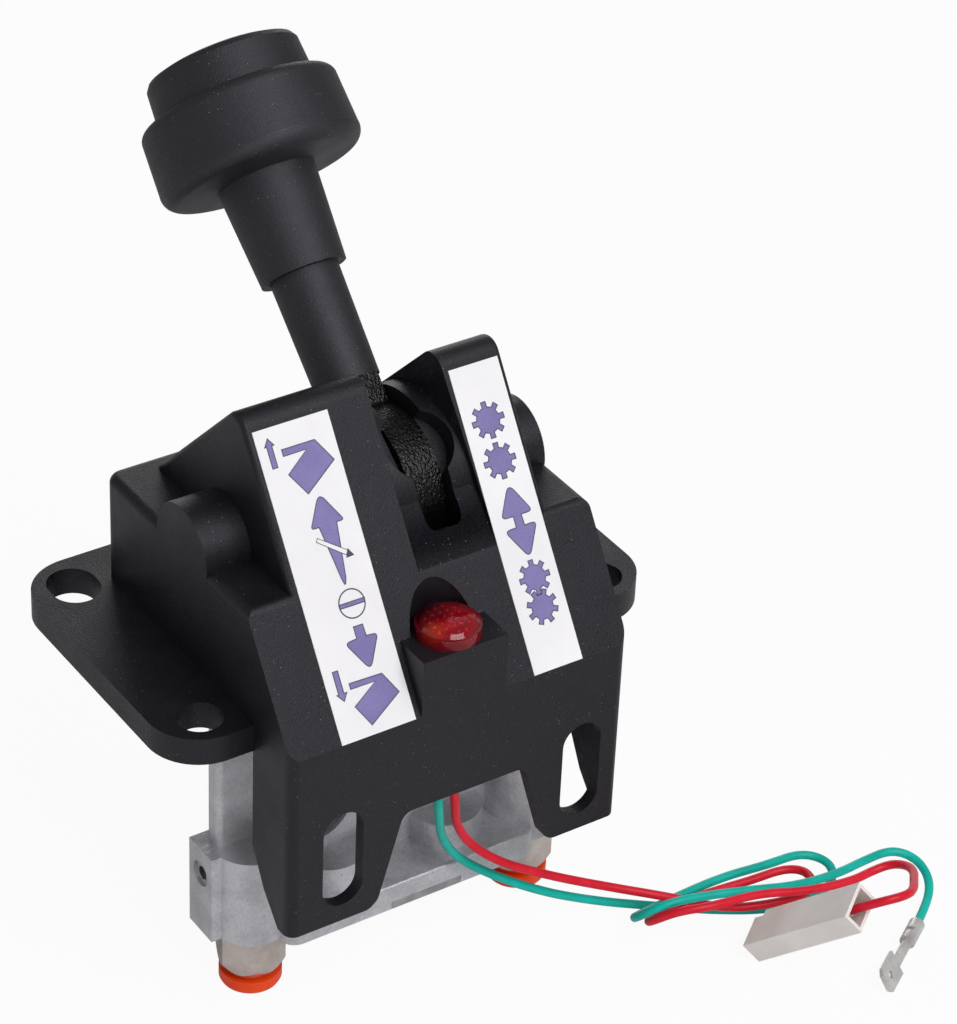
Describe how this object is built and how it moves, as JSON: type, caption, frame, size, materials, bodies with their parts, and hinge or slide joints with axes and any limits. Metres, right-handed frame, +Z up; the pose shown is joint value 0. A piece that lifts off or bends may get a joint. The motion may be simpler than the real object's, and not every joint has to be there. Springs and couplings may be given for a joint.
{
  "type": "tipper control valve",
  "caption": "Lever-operated pneumatic tipper control valve with locking collar, warning lamp and push-in tube ports.",
  "frame": {"origin": "bottom centre of the valve's bounding box at rest, leads left out: on the plane of the four tube ports, midway between the flange's side edges and 18.5 mm behind the lever's pivot line", "axes": "+Z up through the valve towards the lever, +Y to the rear (the way the lever leans at rest), +X along the pivot to the right"},
  "size_m": [0.1734, 0.1766, 0.1857],
  "materials": {
    "moulded_nylon": "moulded glass-filled nylon, fine grain",
    "cast_alloy": "bead-blasted die casting",
    "zinc_plate": "zinc plated",
    "spring_steel": "drawn spring steel",
    "plated_rod": "nickel plated, turned",
    "bronze": "plain bearing bronze",
    "cam_steel": "ground steel",
    "nickel_brass": "nickel plated brass",
    "seal_rubber": "nitrile rubber",
    "orange_plastic": "injection moulded, smooth",
    "red_lens": "deep red prismatic lens",
    "black_gloss": "smooth black moulding",
    "bulb_glass": "clear lamp envelope",
    "decal_film": "printed film, satin",
    "green_wire": "flexible wire insulation",
    "red_wire": "flexible wire insulation",
    "cream_plastic": "natural nylon",
    "tin_plate": "tin plated sheet"
  },
  "bodies": {
    "base": {"housing": "moulded_nylon", "valve_body": "cast_alloy", "bottom_cover": "zinc_plate", "cover_screws": "zinc_plate", "body_screws": "zinc_plate", "side_grub_screw": "zinc_plate", "bore_plug_left": "cast_alloy", "bore_plug_right": "cast_alloy", "circlip_left": "spring_steel", "circlip_right": "spring_steel", "body_gasket": "seal_rubber", "pivot_bush_left": "bronze", "pivot_bush_right": "bronze", "tipping_plunger_seal": "seal_rubber", "pto_plunger_seal": "seal_rubber", "tipping_spring": "spring_steel", "pto_spring": "spring_steel", "lamp_lens": "red_lens", "lamp_body": "black_gloss", "lamp_nut": "black_gloss", "lamp_bulb": "bulb_glass", "decal_left": "decal_film", "decal_right": "decal_film", "wire_green": "green_wire", "wire_red": "red_wire", "connector_housing": "cream_plastic", "connector_terminal": "tin_plate", "spade_terminal": "tin_plate", "fitting_body_front_left": "nickel_brass", "tube_seal_front_left": "seal_rubber", "fitting_body_front_right": "nickel_brass", "tube_seal_front_right": "seal_rubber", "fitting_body_rear_left": "nickel_brass", "tube_seal_rear_left": "seal_rubber", "fitting_body_rear_right": "nickel_brass", "tube_seal_rear_right": "seal_rubber"},
    "lever": {"lever_hub": "moulded_nylon", "lever_shaft": "moulded_nylon", "knob_cap": "moulded_nylon", "pivot_pin": "plated_rod", "tipping_cam": "cam_steel", "pto_cam": "cam_steel", "lock_spring": "spring_steel"},
    "collar": {"lift_collar": "moulded_nylon", "lock_rod": "plated_rod", "cross_pin": "plated_rod"},
    "tipping_plunger": {"tipping_plunger": "cam_steel"},
    "pto_plunger": {"pto_plunger": "cam_steel"},
    "release_ring_front_left": {"release_ring_front_left": "orange_plastic"},
    "release_ring_front_right": {"release_ring_front_right": "orange_plastic"},
    "release_ring_rear_left": {"release_ring_rear_left": "orange_plastic"},
    "release_ring_rear_right": {"release_ring_rear_right": "orange_plastic"}
  },
  "joints": [
    {"name": "lever_swing", "type": "hinge", "parent": "base", "child": "lever", "pos_m": [0, -0.01854, 0.1055], "axis": [1, 0, 0], "range_deg": [0, 80]},
    {"name": "collar_lift", "type": "slide", "parent": "lever", "child": "collar", "axis": [0, 0.7145, 0.6997], "range_m": [0, 0.008], "stiffness_N_per_m": 700, "springref_m": -0.006, "deforming": ["lock_spring"]},
    {"name": "tipping_plunger_stroke", "type": "slide", "parent": "base", "child": "tipping_plunger", "axis": [0, 0, -1], "range_m": [0, 0.0037], "deforming": ["tipping_spring"]},
    {"name": "pto_plunger_stroke", "type": "slide", "parent": "base", "child": "pto_plunger", "axis": [0, 0, 1], "range_m": [0, 0.0037], "deforming": ["pto_spring"]},
    {"name": "release_ring_front_left_travel", "type": "slide", "parent": "base", "child": "release_ring_front_left", "axis": [0, 0, -1], "range_m": [0, 0.0006]},
    {"name": "release_ring_front_right_travel", "type": "slide", "parent": "base", "child": "release_ring_front_right", "axis": [0, 0, -1], "range_m": [0, 0.0006]},
    {"name": "release_ring_rear_left_travel", "type": "slide", "parent": "base", "child": "release_ring_rear_left", "axis": [0, 0, -1], "range_m": [0, 0.0006]},
    {"name": "release_ring_rear_right_travel", "type": "slide", "parent": "base", "child": "release_ring_rear_right", "axis": [0, 0, -1], "range_m": [0, 0.0006]}
  ],
  "couplings": [
    {"joint": "tipping_plunger_stroke", "follows": "lever_swing", "m_per_rad": 0.00255},
    {"joint": "pto_plunger_stroke", "follows": "lever_swing", "m_per_rad": 0.00255}
  ]
}
